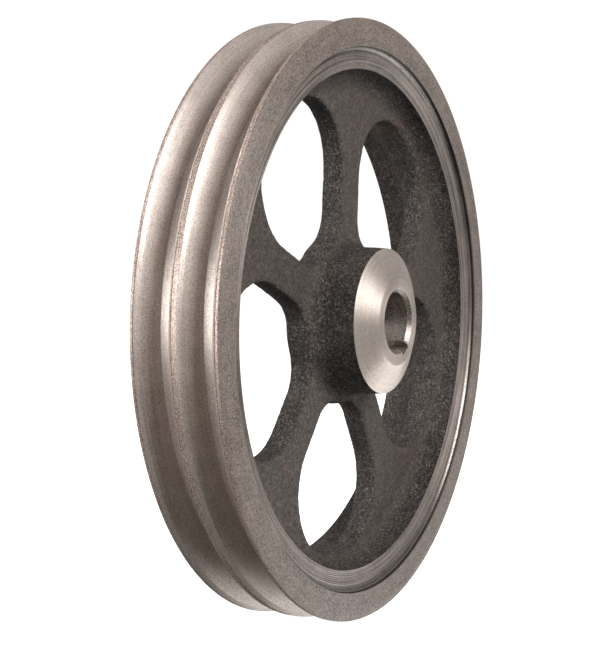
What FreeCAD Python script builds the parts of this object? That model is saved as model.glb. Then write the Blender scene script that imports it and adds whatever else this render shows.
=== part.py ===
import FreeCAD, Part
import os
import re
import Sketcher

# Two-groove V belt pulley, a grey iron casting that is turned on its rim and hub.
#
# Frame: the origin is the centre of the wheel, on the bore's axis and midway across the rim. The wheel
# turns about Y, the side with the long hub faces -Y, and Z is up. Millimetres and degrees.
#
# The casting is divided along plain cylinders into the ring under the belts, the three flanges that make
# the two grooves, the five arms and the hub, so that the divided solids meet face to face. The set screw
# is a separate piece that runs in its tapped hole.

doc = FreeCAD.newDocument("VBeltPulley")

# ---------------------------------------------------------------- driving dimensions

DIMENSIONS = [
    ("outer_radius", 130.0, "outside of the flanges"),
    ("groove_top_width", 16.3, "belt groove at the outside, broken edges included"),
    ("groove_depth", 11.5, "outside of the flanges to the groove floor"),
    ("groove_angle", 38.0, "included angle of the groove walls"),
    ("groove_edge_break", 1.35, "45 degree break on each groove edge"),
    ("rib_land", 2.7, "flat top of the centre rib"),
    ("flange_land", 1.5, "flat top of each outer flange"),
    ("face_edge_axial", 0.6, "turned-off corner of the rim's side, along the axis"),
    ("face_edge_radial", 2.6, "the same corner, across the face"),
    ("recess_margin", 0.5, "from the groove floor's radius in to the front recess"),
    ("recess_wall_run", 2.6, "front recess, width of its sloping wall"),
    ("recess_wall_depth", 2.7, "front recess, depth at the foot of its wall"),
    ("lip_depth", 3.8, "front recess, depth at its inner lip"),
    ("rim_wall_front", 9.8, "iron under the groove floor at the front lip"),
    ("rim_wall_rear", 11.4, "iron under the groove floor at the rear lip"),
    ("rim_draft", 4.0, "mould draft inside the rim"),
    ("rim_fillet", 8.0, "cast fillet between the rim and the web"),
    ("web_set_back", 13.35, "rim's front face to the front of the web"),
    ("web_thickness", 10.4, "web and arms"),
    ("arm_count", 5, "arms, with a window between each pair"),
    ("arm_angle", 5.2, "first arm, clockwise from the top seen from the front"),
    ("arm_width", 17.0, "arms at mid length"),
    ("window_to_rim", 6.0, "inside of the rim at the web to the window's outer edge"),
    ("window_to_hub", 4.9, "hub's radius to the window's inner edge"),
    ("window_outer_corner", 28.3, "window corner radius at the rim"),
    ("window_inner_corner", 17.0, "window corner radius at the hub"),
    ("window_least_side", 1.0, "straight side that a window keeps between its corners"),
    ("arm_end_at_rim", 6.0, "window's outer edge in to the joint of arm and rim"),
    ("arm_end_at_hub", 9.6, "window's inner edge out to the joint of arm and hub"),
    ("hub_radius", 31.5, "cast body of the hub under its turned cone"),
    ("hub_proud", 11.9, "hub's nose in front of the rim"),
    ("hub_length", 38.0, "nose to rear face of the hub"),
    ("hub_face_radius", 19.1, "flat ring on the hub's nose"),
    ("hub_cone_depth", 6.0, "turned cone of the nose, along the axis"),
    ("hub_draft", 3.0, "mould draft on the hub's body"),
    ("hub_fillet", 7.0, "cast fillet between the hub and the web"),
    ("bore_radius", 12.71, "bore for a 25.4 mm shaft"),
    ("bore_chamfer", 1.6, "45 degree chamfer at both ends of the bore"),
    ("keyway_width", 6.35, "keyway for a 6.35 mm square key"),
    ("keyway_floor", 15.6, "bore axis to the keyway's floor"),
    ("keyway_angle", 151.1, "keyway, clockwise from the top seen from the front"),
    ("screw_hole_radius", 3.97, "tapped hole for the set screw"),
    ("screw_clearance", 0.05, "radial clearance between the screw and its hole"),
    ("screw_back", 11.5, "hub's nose back to the set screw's axis"),
    ("screw_length", 9.5, "set screw"),
    ("screw_pitch", 1.41, "set screw thread"),
    ("screw_thread_depth", 0.75, "set screw thread"),
    ("screw_thread_half_width", 0.62, "half the width of a thread groove at its mouth"),
    ("screw_point_radius", 2.2, "flat rim of the cup point"),
    ("screw_point_length", 1.1, "cone of the cup point"),
    ("screw_cup_depth", 0.9, "hollow in the cup point"),
    ("screw_end_break", 0.6, "chamfer at the socket end"),
    ("socket_across_flats", 3.97, "hexagon socket"),
    ("socket_depth", 4.0, "hexagon socket"),
    ("screw_tip_gap", 1.0, "keyway floor to the point, with the screw at rest"),
]

sheet = doc.addObject("Spreadsheet::Sheet", "Sizes")
for row, (alias, value, meaning) in enumerate(DIMENSIONS, start=1):
    sheet.set(f"A{row}", meaning)
    sheet.set(f"B{row}", str(value))
    sheet.setAlias(f"B{row}", alias)
doc.recompute()

ALIAS = re.compile(r"\b(" + "|".join(alias for alias, _, _ in DIMENSIONS) + r")\b")


def size(formula):
    """Turn a formula of dimension names into one that reads the sheet."""
    return ALIAS.sub(r"Sizes.\1", formula)


def number(formula):
    """The present value of a formula of dimension names."""
    result = sheet.evalExpression(size(formula))
    return float(getattr(result, "Value", result))


# ---------------------------------------------------------------- places worked out from the dimensions

HALF_WIDTH = "(groove_top_width + rib_land / 2 + flange_land + face_edge_axial)"
FLOOR_RADIUS = "(outer_radius - groove_depth)"
GROOVE_RUN = "((groove_depth - groove_edge_break) * tan(groove_angle / 2))"

WEB_FRONT = f"(web_set_back - {HALF_WIDTH})"
WEB_REAR = f"({WEB_FRONT} + web_thickness)"
HUB_FRONT = f"(-{HALF_WIDTH} - hub_proud)"
HUB_REAR = f"({HUB_FRONT} + hub_length)"

FRONT_LIP_RADIUS = f"({FLOOR_RADIUS} - rim_wall_front)"
FRONT_LIP = f"(lip_depth - {HALF_WIDTH})"
REAR_LIP_RADIUS = f"({FLOOR_RADIUS} - rim_wall_rear)"
FRONT_WALL_RADIUS = f"({FRONT_LIP_RADIUS} - ({WEB_FRONT} - rim_fillet - {FRONT_LIP}) * tan(rim_draft))"
REAR_WALL_RADIUS = f"({REAR_LIP_RADIUS} - ({HALF_WIDTH} - rim_fillet - {WEB_REAR}) * tan(rim_draft))"

HUB_CONE_FOOT = f"({HUB_FRONT} + hub_cone_depth)"
HUB_ROOT_RADIUS = f"(hub_radius + ({WEB_FRONT} - hub_fillet - {HUB_CONE_FOOT}) * tan(hub_draft))"

WINDOW_OUTER = f"({FRONT_WALL_RADIUS} - window_to_rim)"
WINDOW_INNER = "(hub_radius + window_to_hub)"
ARM_OUTER = f"({WINDOW_OUTER} - arm_end_at_rim)"
ARM_INNER = f"({WINDOW_INNER} + arm_end_at_hub)"

# Window outline, in its own frame: the middle of the window lies along the sketch's +Y.
HALF_PITCH = "(180 / arm_count)"
HALF_ARM = "(arm_width / 2)"


def corner_centre(reach, radius):
    """Centre of a window corner: on the circle of that reach, its radius away from the arm's side."""
    off = f"({HALF_ARM} + {radius})"
    along = f"sqrt({reach}^2 - {off}^2)"
    return (
        f"({along} * sin({HALF_PITCH}) - {off} * cos({HALF_PITCH}))",
        f"({along} * cos({HALF_PITCH}) + {off} * sin({HALF_PITCH}))",
        along,
    )


def side_point(along):
    """Point on the arm's side, at that distance along the arm."""
    return (
        f"({along} * sin({HALF_PITCH}) - {HALF_ARM} * cos({HALF_PITCH}))",
        f"({along} * cos({HALF_PITCH}) + {HALF_ARM} * sin({HALF_PITCH}))",
    )


INNER_CORNER = "window_inner_corner"
INNER_REACH = f"({WINDOW_INNER} + {INNER_CORNER})"
INNER_X, INNER_Y, INNER_ALONG = corner_centre(INNER_REACH, INNER_CORNER)

# The corner at the rim is limited by the straight side that the window has left.
LEAST_ALONG = f"({INNER_ALONG} + window_least_side)"
OUTER_ROOM = f"(({WINDOW_OUTER}^2 - {HALF_ARM}^2 - {LEAST_ALONG}^2) / (2 * {WINDOW_OUTER} + arm_width))"
OUTER_CORNER = f"min(window_outer_corner; {OUTER_ROOM})"
OUTER_REACH = f"({WINDOW_OUTER} - {OUTER_CORNER})"
OUTER_X, OUTER_Y, OUTER_ALONG = corner_centre(OUTER_REACH, OUTER_CORNER)


# ---------------------------------------------------------------- helpers

def origin_plane(body, role):
    """One of the body's own origin planes."""
    return next(plane for plane in body.Origin.OriginFeatures if plane.Role == role)


def new_body(label):
    """An empty body that becomes one sub-part."""
    body = doc.addObject("PartDesign::Body", label)
    body.Label = label
    return body


def new_sketch(body, name, role):
    """A sketch on one of the body's origin planes."""
    sketch = body.newObject("Sketcher::SketchObject", name)
    sketch.AttachmentSupport = [(origin_plane(body, role), "")]
    sketch.MapMode = "FlatFace"
    return sketch


def turn_sketch(sketch, axis, angle):
    """Turn a sketch on its plane, about an axis of its own, by a formula in degrees."""
    sketch.AttachmentOffset = FreeCAD.Placement(FreeCAD.Vector(), FreeCAD.Rotation(axis, number(angle)))
    sketch.setExpression("AttachmentOffset.Rotation.Angle", size(angle))


def bind(sketch, constraint, formula):
    """Add a constraint and tie it to the sheet."""
    index = sketch.addConstraint(constraint)
    sketch.setExpression(f"Constraints[{index}]", size(formula))


def place_point(sketch, geometry, end, x_formula, y_formula):
    """Fix one end of a sketch element at formulas for X and Y."""
    bind(sketch, Sketcher.Constraint("DistanceX", -1, 1, geometry, end, number(x_formula)), x_formula)
    bind(sketch, Sketcher.Constraint("DistanceY", -1, 1, geometry, end, number(y_formula)), y_formula)


def outline(sketch, corners, arcs=None):
    """A closed outline through corners given as formulas.

    arcs names the stretches that are round: the index of the corner that a stretch starts from, with the
    formulas of its centre's X, its centre's Y and its radius, and whether it runs anticlockwise.
    """
    arcs = arcs or {}
    points = [FreeCAD.Vector(number(x), number(y), 0) for x, y in corners]
    count = len(corners)
    for index in range(count):
        start, end = points[index], points[(index + 1) % count]
        if index in arcs:
            centre_x, centre_y, radius, anticlockwise = arcs[index]
            centre = FreeCAD.Vector(number(centre_x), number(centre_y), 0)
            first, last = (start, end) if anticlockwise else (end, start)
            circle = Part.Circle(centre, FreeCAD.Vector(0, 0, 1), number(radius))
            arc = Part.ArcOfCircle(circle, circle.parameter(first), circle.parameter(last))
            sketch.addGeometry(arc)
            bind(sketch, Sketcher.Constraint("Radius", index, number(radius)), radius)
        else:
            sketch.addGeometry(Part.LineSegment(start, end))
    starts = [2 if index in arcs and not arcs[index][3] else 1 for index in range(count)]
    for index in range(count):
        following = (index + 1) % count
        sketch.addConstraint(
            Sketcher.Constraint("Coincident", index, 3 - starts[index], following, starts[following])
        )
        place_point(sketch, index, starts[index], *corners[index])


def turned(body, name, corners, arcs=None):
    """A solid of revolution about Y. Corners are (radius, y) formulas."""
    sketch = new_sketch(body, name + "_profile", "XY_Plane")
    outline(sketch, corners, arcs)
    revolution = body.newObject("PartDesign::Revolution", name)
    revolution.Profile = sketch
    revolution.ReferenceAxis = (sketch, ["V_Axis"])
    revolution.Angle = 360
    doc.recompute()
    return revolution


def cut_windows(body):
    """Cut every window through the body, as a pattern about the wheel's axis."""
    sketch = new_sketch(body, "window", "XZ_Plane")
    turn_sketch(sketch, FreeCAD.Vector(0, 0, 1), f"(-arm_angle - {HALF_PITCH})")
    scale_out = f"({WINDOW_OUTER} / {OUTER_REACH})"
    scale_in = f"({WINDOW_INNER} / {INNER_REACH})"
    right = [
        (f"({OUTER_X} * {scale_out})", f"({OUTER_Y} * {scale_out})"),
        side_point(OUTER_ALONG),
        side_point(INNER_ALONG),
        (f"({INNER_X} * {scale_in})", f"({INNER_Y} * {scale_in})"),
    ]
    left = [(f"(-{x})", y) for x, y in reversed(right)]
    centre = ("0", "0")
    arcs = {
        0: (OUTER_X, OUTER_Y, OUTER_CORNER, False),
        2: (INNER_X, INNER_Y, INNER_CORNER, False),
        3: (*centre, WINDOW_INNER, True),
        4: (f"(-{INNER_X})", INNER_Y, INNER_CORNER, False),
        6: (f"(-{OUTER_X})", OUTER_Y, OUTER_CORNER, False),
        7: (*centre, WINDOW_OUTER, False),
    }
    outline(sketch, right + left, arcs)
    pocket = body.newObject("PartDesign::Pocket", "window_cut")
    pocket.Profile = sketch
    pocket.Type = "ThroughAll"
    pocket.SideType = "Symmetric"
    doc.recompute()
    pattern = body.newObject("PartDesign::PolarPattern", "windows")
    pattern.Originals = [pocket]
    pattern.Axis = (sketch, ["N_Axis"])
    pattern.Angle = 360
    pattern.setExpression("Occurrences", size("arm_count"))
    body.Tip = pattern
    doc.recompute()


# ---------------------------------------------------------------- the rim

def build_rim_band():
    """The ring under the belts, with the front recess, both lips and the fillets into the web."""
    body = new_body("rim_band")
    recess_radius = f"({FLOOR_RADIUS} - recess_margin)"
    corners = [
        (FLOOR_RADIUS, f"(-{HALF_WIDTH})"),
        (recess_radius, f"(-{HALF_WIDTH})"),
        (f"({recess_radius} - recess_wall_run)", f"(recess_wall_depth - {HALF_WIDTH})"),
        (FRONT_LIP_RADIUS, FRONT_LIP),
        (FRONT_WALL_RADIUS, f"({WEB_FRONT} - rim_fillet)"),
        (f"({FRONT_WALL_RADIUS} - rim_fillet)", WEB_FRONT),
        (ARM_OUTER, WEB_FRONT),
        (ARM_OUTER, WEB_REAR),
        (f"({REAR_WALL_RADIUS} - rim_fillet)", WEB_REAR),
        (REAR_WALL_RADIUS, f"({WEB_REAR} + rim_fillet)"),
        (REAR_LIP_RADIUS, HALF_WIDTH),
        (FLOOR_RADIUS, HALF_WIDTH),
    ]
    arcs = {
        4: (f"({FRONT_WALL_RADIUS} - rim_fillet)", f"({WEB_FRONT} - rim_fillet)", "rim_fillet", True),
        8: (f"({REAR_WALL_RADIUS} - rim_fillet)", f"({WEB_REAR} + rim_fillet)", "rim_fillet", True),
    }
    turned(body, "ring", corners, arcs)
    cut_windows(body)
    return body


def build_flange(label, side):
    """One of the two outer flanges: side is -1 at the front and 1 at the rear."""
    body = new_body(label)
    face = f"({side} * {HALF_WIDTH})"
    land_outer = f"({side} * ({HALF_WIDTH} - face_edge_axial))"
    land_inner = f"({side} * ({HALF_WIDTH} - face_edge_axial - flange_land))"
    wall_top = f"({land_inner} - {side} * groove_edge_break)"
    corners = [
        (FLOOR_RADIUS, face),
        ("(outer_radius - face_edge_radial)", face),
        ("outer_radius", land_outer),
        ("outer_radius", land_inner),
        ("(outer_radius - groove_edge_break)", wall_top),
        (FLOOR_RADIUS, f"({wall_top} - {side} * {GROOVE_RUN})"),
    ]
    turned(body, "ring", corners)
    return body


def build_centre_rib():
    """The rib between the two belts."""
    body = new_body("centre_rib")
    half_land = "(rib_land / 2)"
    wall_top = f"({half_land} + groove_edge_break)"
    upper = [
        ("outer_radius", half_land),
        ("(outer_radius - groove_edge_break)", wall_top),
        (FLOOR_RADIUS, f"({wall_top} + {GROOVE_RUN})"),
    ]
    lower = [(radius, f"(-{y})") for radius, y in reversed(upper)]
    turned(body, "ring", upper + lower)
    return body


# ---------------------------------------------------------------- the arms

def arm_end(reach, corner, along, joint_radius):
    """Where a window corner crosses the joint at an arm's end, in the arm's own frame."""
    to_centre = f"acos({along} / {reach})"
    spread = f"acos(({reach}^2 + {joint_radius}^2 - {corner}^2) / (2 * {reach} * {joint_radius}))"
    angle = f"({to_centre} - {spread})"
    return f"({joint_radius} * sin({angle}))", f"({joint_radius} * cos({angle}))"


def build_arm(position):
    """One arm of the web, from the hub's plate to the rim band, spreading at both ends."""
    body = new_body(f"arm_{position}")
    sketch = new_sketch(body, "arm_outline", "XZ_Plane")
    outer_x, outer_y = arm_end(OUTER_REACH, OUTER_CORNER, OUTER_ALONG, ARM_OUTER)
    inner_x, inner_y = arm_end(INNER_REACH, INNER_CORNER, INNER_ALONG, ARM_INNER)
    right = [
        (outer_x, outer_y),
        (HALF_ARM, OUTER_ALONG),
        (HALF_ARM, INNER_ALONG),
        (inner_x, inner_y),
    ]
    left = [(f"(-{x})", y) for x, y in reversed(right)]
    outer_off = f"({HALF_ARM} + {OUTER_CORNER})"
    inner_off = f"({HALF_ARM} + {INNER_CORNER})"
    arcs = {
        0: (outer_off, OUTER_ALONG, OUTER_CORNER, True),
        2: (inner_off, INNER_ALONG, INNER_CORNER, True),
        3: ("0", "0", ARM_INNER, True),
        4: (f"(-{inner_off})", INNER_ALONG, INNER_CORNER, True),
        6: (f"(-{outer_off})", OUTER_ALONG, OUTER_CORNER, True),
        7: ("0", "0", ARM_OUTER, False),
    }
    outline(sketch, right + left, arcs)
    pad = body.newObject("PartDesign::Pad", "plate")
    pad.Profile = sketch
    pad.setExpression("Length", size("web_thickness"))
    pad.Reversed = True
    body.Tip = pad
    turn = size(f"(arm_angle + {position - 1} * 2 * {HALF_PITCH})")
    body.Placement.Rotation = FreeCAD.Rotation(FreeCAD.Vector(0, 1, 0), 1)
    body.setExpression("Placement.Rotation.Angle", turn)
    body.setExpression("Placement.Base.y", size(WEB_FRONT))
    doc.recompute()
    return body


# ---------------------------------------------------------------- the hub

def build_hub():
    """The hub with its turned nose, the cast body, and the plate that the arms run out of."""
    body = new_body("hub")
    corners = [
        ("(bore_radius + bore_chamfer)", HUB_FRONT),
        ("hub_face_radius", HUB_FRONT),
        ("hub_radius", HUB_CONE_FOOT),
        (HUB_ROOT_RADIUS, f"({WEB_FRONT} - hub_fillet)"),
        (f"({HUB_ROOT_RADIUS} + hub_fillet)", WEB_FRONT),
        (ARM_INNER, WEB_FRONT),
        (ARM_INNER, WEB_REAR),
        ("hub_radius", WEB_REAR),
        ("hub_radius", HUB_REAR),
        ("(bore_radius + bore_chamfer)", HUB_REAR),
        ("bore_radius", f"({HUB_REAR} - bore_chamfer)"),
        ("bore_radius", f"({HUB_FRONT} + bore_chamfer)"),
    ]
    arcs = {
        3: (f"({HUB_ROOT_RADIUS} + hub_fillet)", f"({WEB_FRONT} - hub_fillet)", "hub_fillet", False),
    }
    turned(body, "blank", corners, arcs)
    cut_windows(body)

    keyway = new_sketch(body, "keyway", "XZ_Plane")
    turn_sketch(keyway, FreeCAD.Vector(0, 0, 1), "(-keyway_angle)")
    right, left = "(keyway_width / 2)", "(-keyway_width / 2)"
    outline(keyway, [(left, "0"), (right, "0"), (right, "keyway_floor"), (left, "keyway_floor")])
    keyway_cut = body.newObject("PartDesign::Pocket", "keyway_cut")
    keyway_cut.Profile = keyway
    keyway_cut.Type = "ThroughAll"
    keyway_cut.SideType = "Symmetric"
    doc.recompute()

    tapping = new_sketch(body, "screw_hole", "XY_Plane")
    turn_sketch(tapping, FreeCAD.Vector(0, 1, 0), "keyway_angle")
    circle = Part.Circle(FreeCAD.Vector(), FreeCAD.Vector(0, 0, 1), number("screw_hole_radius"))
    tapping.addGeometry(circle)
    bind(tapping, Sketcher.Constraint("Radius", 0, number("screw_hole_radius")), "screw_hole_radius")
    tapping.addConstraint(Sketcher.Constraint("PointOnObject", 0, 3, -2))
    height = f"({HUB_FRONT} + screw_back)"
    bind(tapping, Sketcher.Constraint("DistanceY", -1, 1, 0, 3, number(height)), height)
    hole = body.newObject("PartDesign::Pocket", "screw_hole_cut")
    hole.Profile = tapping
    hole.Reversed = True
    hole.setExpression("Length", size(HUB_ROOT_RADIUS))
    body.Tip = hole
    doc.recompute()
    return body


# ---------------------------------------------------------------- the set screw

HEXAGON = 6


def build_set_screw():
    """Socket set screw with a cup point, drawn along +Z from its point, then placed over the keyway."""
    body = new_body("set_screw")
    crest = "(screw_hole_radius - screw_clearance)"
    corners = [
        ("0", "screw_cup_depth"),
        ("screw_point_radius", "0"),
        (crest, "screw_point_length"),
        (crest, "(screw_length - screw_end_break)"),
        (f"({crest} - screw_end_break)", "screw_length"),
        ("0", "screw_length"),
    ]
    profile = new_sketch(body, "screw_profile", "XZ_Plane")
    outline(profile, corners)
    blank = body.newObject("PartDesign::Revolution", "screw_blank")
    blank.Profile = profile
    blank.ReferenceAxis = (profile, ["V_Axis"])
    blank.Angle = 360
    doc.recompute()

    first_root = "(screw_point_length + screw_pitch / 2)"
    ridge = new_sketch(body, "thread_root", "XZ_Plane")
    outline(ridge, [
        (f"({crest} - screw_thread_depth)", first_root),
        (crest, f"({first_root} - screw_thread_half_width)"),
        (crest, f"({first_root} + screw_thread_half_width)"),
    ])
    root = body.newObject("PartDesign::Groove", "thread_cut")
    root.Profile = ridge
    root.ReferenceAxis = (ridge, ["V_Axis"])
    root.Angle = 360
    doc.recompute()
    thread = body.newObject("PartDesign::LinearPattern", "thread")
    thread.Originals = [root]
    thread.Direction = (ridge, ["V_Axis"])
    roots = "floor((screw_length - screw_point_length - screw_end_break) / screw_pitch)"
    thread.setExpression("Occurrences", size(roots))
    thread.setExpression("Length", size(f"(({roots} - 1) * screw_pitch)"))
    body.Tip = thread
    doc.recompute()

    socket = new_sketch(body, "socket", "XY_Plane")
    socket.setExpression("AttachmentOffset.Base.z", size("screw_length"))
    corner = f"(socket_across_flats / 2 / cos(180 / {HEXAGON}))"
    turns = [f"({corner_number} * 360 / {HEXAGON})" for corner_number in range(HEXAGON)]
    outline(socket, [(f"({corner} * cos({turn}))", f"({corner} * sin({turn}))") for turn in turns])
    socket_cut = body.newObject("PartDesign::Pocket", "socket_cut")
    socket_cut.Profile = socket
    socket_cut.setExpression("Length", size("socket_depth"))
    body.Tip = socket_cut

    body.Placement.Rotation = FreeCAD.Rotation(FreeCAD.Vector(0, 1, 0), 1)
    body.setExpression("Placement.Rotation.Angle", size("keyway_angle"))
    reach = "(keyway_floor + screw_tip_gap)"
    body.setExpression("Placement.Base.x", size(f"({reach} * sin(keyway_angle))"))
    body.setExpression("Placement.Base.y", size(f"({HUB_FRONT} + screw_back)"))
    body.setExpression("Placement.Base.z", size(f"({reach} * cos(keyway_angle))"))
    doc.recompute()
    return body


# ---------------------------------------------------------------- build, check and write

pieces = [
    build_rim_band(),
    build_flange("front_flange", -1),
    build_centre_rib(),
    build_flange("rear_flange", 1),
]
pieces += [build_arm(position) for position in range(1, int(number("arm_count")) + 1)]
pieces += [build_hub(), build_set_screw()]
doc.recompute()

for item in doc.Objects:
    if "Invalid" in item.State or "Error" in item.State:
        raise SystemExit(f"{item.Label} failed: {item.State}")

os.makedirs("parts", exist_ok=True)
for piece in pieces:
    shape = piece.Shape
    if shape.isNull() or not shape.isValid() or len(shape.Solids) != 1:
        raise SystemExit(f"{piece.Label} is not one valid solid")
    shape.exportStep(f"parts/{piece.Label}.step")
    box = shape.BoundBox
    extent = f"{box.XLength:.2f} x {box.YLength:.2f} x {box.ZLength:.2f} mm"
    print(f"{piece.Label}: {shape.Volume / 1000:.2f} cm3, {extent}")
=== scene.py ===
# %% [markdown]
# # A cast iron V belt pulley
#
# The real pulley is one grey iron casting with a small set screw in its hub. It was cast in sand, and a
# turner then cut only what has to run true: the outside of the rim with its two belt grooves, the rim's
# sides, the nose of the hub and the bore. So bright iron with fine tool lines meets the sand's dark skin.
#
# That is also how it is made here. Turned surfaces are lathe profiles spun round the wheel's axis, sharp
# and regular. The cast skin is one dense mesh whose points are pushed in and out like sand.

import math

import bmesh
import bpy
import numpy as np
from mathutils import Matrix, Vector, noise


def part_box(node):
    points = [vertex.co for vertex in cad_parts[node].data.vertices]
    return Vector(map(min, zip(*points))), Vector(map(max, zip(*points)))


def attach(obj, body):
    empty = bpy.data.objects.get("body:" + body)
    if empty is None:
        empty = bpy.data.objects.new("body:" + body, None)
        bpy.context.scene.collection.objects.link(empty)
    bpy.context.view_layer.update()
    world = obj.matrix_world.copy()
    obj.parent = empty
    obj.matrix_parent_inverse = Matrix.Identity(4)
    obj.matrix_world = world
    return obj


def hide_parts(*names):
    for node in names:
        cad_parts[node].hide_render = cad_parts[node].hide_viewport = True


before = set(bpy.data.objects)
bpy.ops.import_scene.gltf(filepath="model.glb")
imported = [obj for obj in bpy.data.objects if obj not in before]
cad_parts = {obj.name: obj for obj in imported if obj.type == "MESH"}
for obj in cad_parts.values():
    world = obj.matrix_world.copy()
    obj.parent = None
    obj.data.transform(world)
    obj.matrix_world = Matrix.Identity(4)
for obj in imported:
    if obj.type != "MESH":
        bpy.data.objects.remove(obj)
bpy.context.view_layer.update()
scene = bpy.context.scene

# %% [markdown]
# ## Sizes
#
# The drawing of the pulley gives the big sizes, so they are read from its parts. What a part's box can't
# say, such as a broken edge or a fillet, is a named value in millimetres.

# %% Sizes read from the drawn parts
MM = 0.001


def reach(node):
    """How far a round part reaches from the wheel's axis."""
    low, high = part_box(node)
    return min(high.x, high.z, -low.x, -low.z)


outer_radius = reach("centre_rib")
floor_radius = reach("rim_band")
half_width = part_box("rim_band")[1].y
rib_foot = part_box("centre_rib")[1].y
flange_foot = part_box("rear_flange")[0].y
web_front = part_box("arm_1")[0].y
web_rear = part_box("arm_1")[1].y
hub_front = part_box("hub")[0].y
hub_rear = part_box("hub")[1].y
print(f"rim {outer_radius / MM:.2f} mm radius, {2 * half_width / MM:.2f} mm wide")

# %% Sizes of edges, lips and fillets
edge_break = 1.35 * MM  # the turner's 45 degree break on each groove edge
rib_half_land = 1.35 * MM
side_edge_along = 0.6 * MM
side_edge_across = 2.6 * MM
recess_radius = floor_radius - 0.5 * MM
recess_wall_run = 2.6 * MM
recess_wall_depth = 2.7 * MM
front_lip_radius = floor_radius - 9.8 * MM
front_lip = -half_width + 3.8 * MM
rear_lip_radius = floor_radius - 11.4 * MM
rim_fillet = 8 * MM
rim_draft = math.radians(4)
hub_radius = 31.5 * MM
hub_cone_foot = hub_front + 6 * MM
hub_face_radius = 19.1 * MM
hub_fillet = 7 * MM
hub_draft = math.radians(3)
rear_fillet = 2 * MM
bore_radius = 12.71 * MM
bore_chamfer = 1.6 * MM
print(f"bore {2 * bore_radius / MM:.2f} mm, hub {2 * hub_radius / MM:.0f} mm across")

# %% [markdown]
# ## Helpers for spun shapes
#
# Blender can spin a profile with a Screw modifier. Here the points are worked out with numpy instead,
# because the same columns round the wheel have to meet the cast web later, point for point. A real corner
# is never perfectly sharp, so the profile's corners can be eased by a small radius before the spin.

# %% Spinning a profile
def spin_columns(profile, turns):
    """Points of a profile of (radius, y) pairs, repeated at every angle clockwise from the top."""
    profile = np.asarray(profile, float)
    radius = profile[None, :, 0]
    along = np.broadcast_to(profile[None, :, 1], (len(turns), len(profile)))
    turns = np.asarray(turns)[:, None]
    return np.stack([radius * np.sin(turns), along, radius * np.cos(turns)], -1)


def grid_faces(rows, columns, close_rows=False, close_columns=False):
    """Quads of a grid of points, joined round where it closes."""
    row = np.arange(rows if close_rows else rows - 1)
    column = np.arange(columns if close_columns else columns - 1)
    row, column = (a.ravel() for a in np.meshgrid(row, column, indexing="ij"))
    next_row, next_column = (row + 1) % rows, (column + 1) % columns
    corners = [row * columns + column, next_row * columns + column]
    corners += [next_row * columns + next_column, row * columns + next_column]
    return np.stack(corners, -1)


def eased(points):
    """Round each corner of a closed profile by its own small radius: points are (radius, y, easing)."""
    steps = 3
    path = []
    count = len(points)
    for index, (radius, along, easing) in enumerate(points):
        here = Vector((radius, along))
        if easing == 0:
            path.append(tuple(here))
            continue
        before = Vector(points[index - 1][:2]) - here
        after = Vector(points[(index + 1) % count][:2]) - here
        start = here + before.normalized() * easing
        end = here + after.normalized() * easing
        for step in range(steps + 1):
            share = step / steps
            path.append(tuple((1 - share) ** 2 * start + 2 * share * (1 - share) * here + share**2 * end))
    return path


print("one eased corner of a triangle:", eased([(1, 0, 0.1), (2, 0, 0), (2, 1, 0)])[:4])

# %% Meshes, shading and cuts
merge_distance = 0.002 * MM


def linked(name, data):
    """An object for a mesh, a light or a camera, in the scene."""
    made = bpy.data.objects.new(name, data)
    scene.collection.objects.link(made)
    return made


def mesh_object(name, vertices, faces):
    """An object from points and faces, with the normals outward and all doubled points merged."""
    mesh = bpy.data.meshes.new(name)
    faces = faces.tolist() if isinstance(faces, np.ndarray) else faces
    mesh.from_pydata(np.asarray(vertices).tolist(), [], faces)
    work = bmesh.new()
    work.from_mesh(mesh)
    bmesh.ops.remove_doubles(work, verts=work.verts, dist=merge_distance)
    bmesh.ops.recalc_face_normals(work, faces=work.faces)
    open_edges = sum(1 for edge in work.edges if len(edge.link_faces) != 2)
    work.to_mesh(mesh)
    work.free()
    print(f"{name}: {len(mesh.polygons)} faces, {open_edges} open edges")
    return linked(name, mesh)


def drawn(name, build, **sizes):
    """A mesh from one of bmesh's own shapes."""
    work = bmesh.new()
    build(work, **sizes)
    mesh = bpy.data.meshes.new(name)
    work.to_mesh(mesh)
    work.free()
    return mesh


def crisp(piece, angle=30):
    """Shade a piece smooth, but keep every edge sharper than the angle."""
    piece.data.polygons.foreach_set("use_smooth", [True] * len(piece.data.polygons))
    piece.data.set_sharp_from_angle(angle=math.radians(angle))


def subtract(piece, *cutters):
    """Cut other closed meshes out of a piece."""
    for cutter in cutters:
        cut = piece.modifiers.new("cut", "BOOLEAN")
        cut.operation = "DIFFERENCE"
        cut.solver = "MANIFOLD"
        cut.object = cutter
    settled = bpy.context.evaluated_depsgraph_get()
    mesh = bpy.data.meshes.new_from_object(piece.evaluated_get(settled))
    piece.modifiers.clear()
    piece.data = mesh
    for cutter in cutters:
        bpy.data.objects.remove(cutter)


print("points nearer than", merge_distance / MM, "mm are merged")

# %% Rings with the rim's columns
ARMS = 5
column_spacing = 1.38 * MM
rim_columns = ARMS * round(2 * math.pi * outer_radius / ARMS / column_spacing)
rim_turns = np.arange(rim_columns) * 2 * math.pi / rim_columns


def turned_ring(name, points):
    """A closed ring spun from an eased profile."""
    profile = eased(points)
    vertices = spin_columns(profile, rim_turns)
    faces = grid_faces(rim_columns, len(profile), close_rows=True, close_columns=True)
    piece = mesh_object(name, vertices.reshape(-1, 3), faces)
    crisp(piece)
    return piece


print("columns round the rim:", rim_columns)

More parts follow.
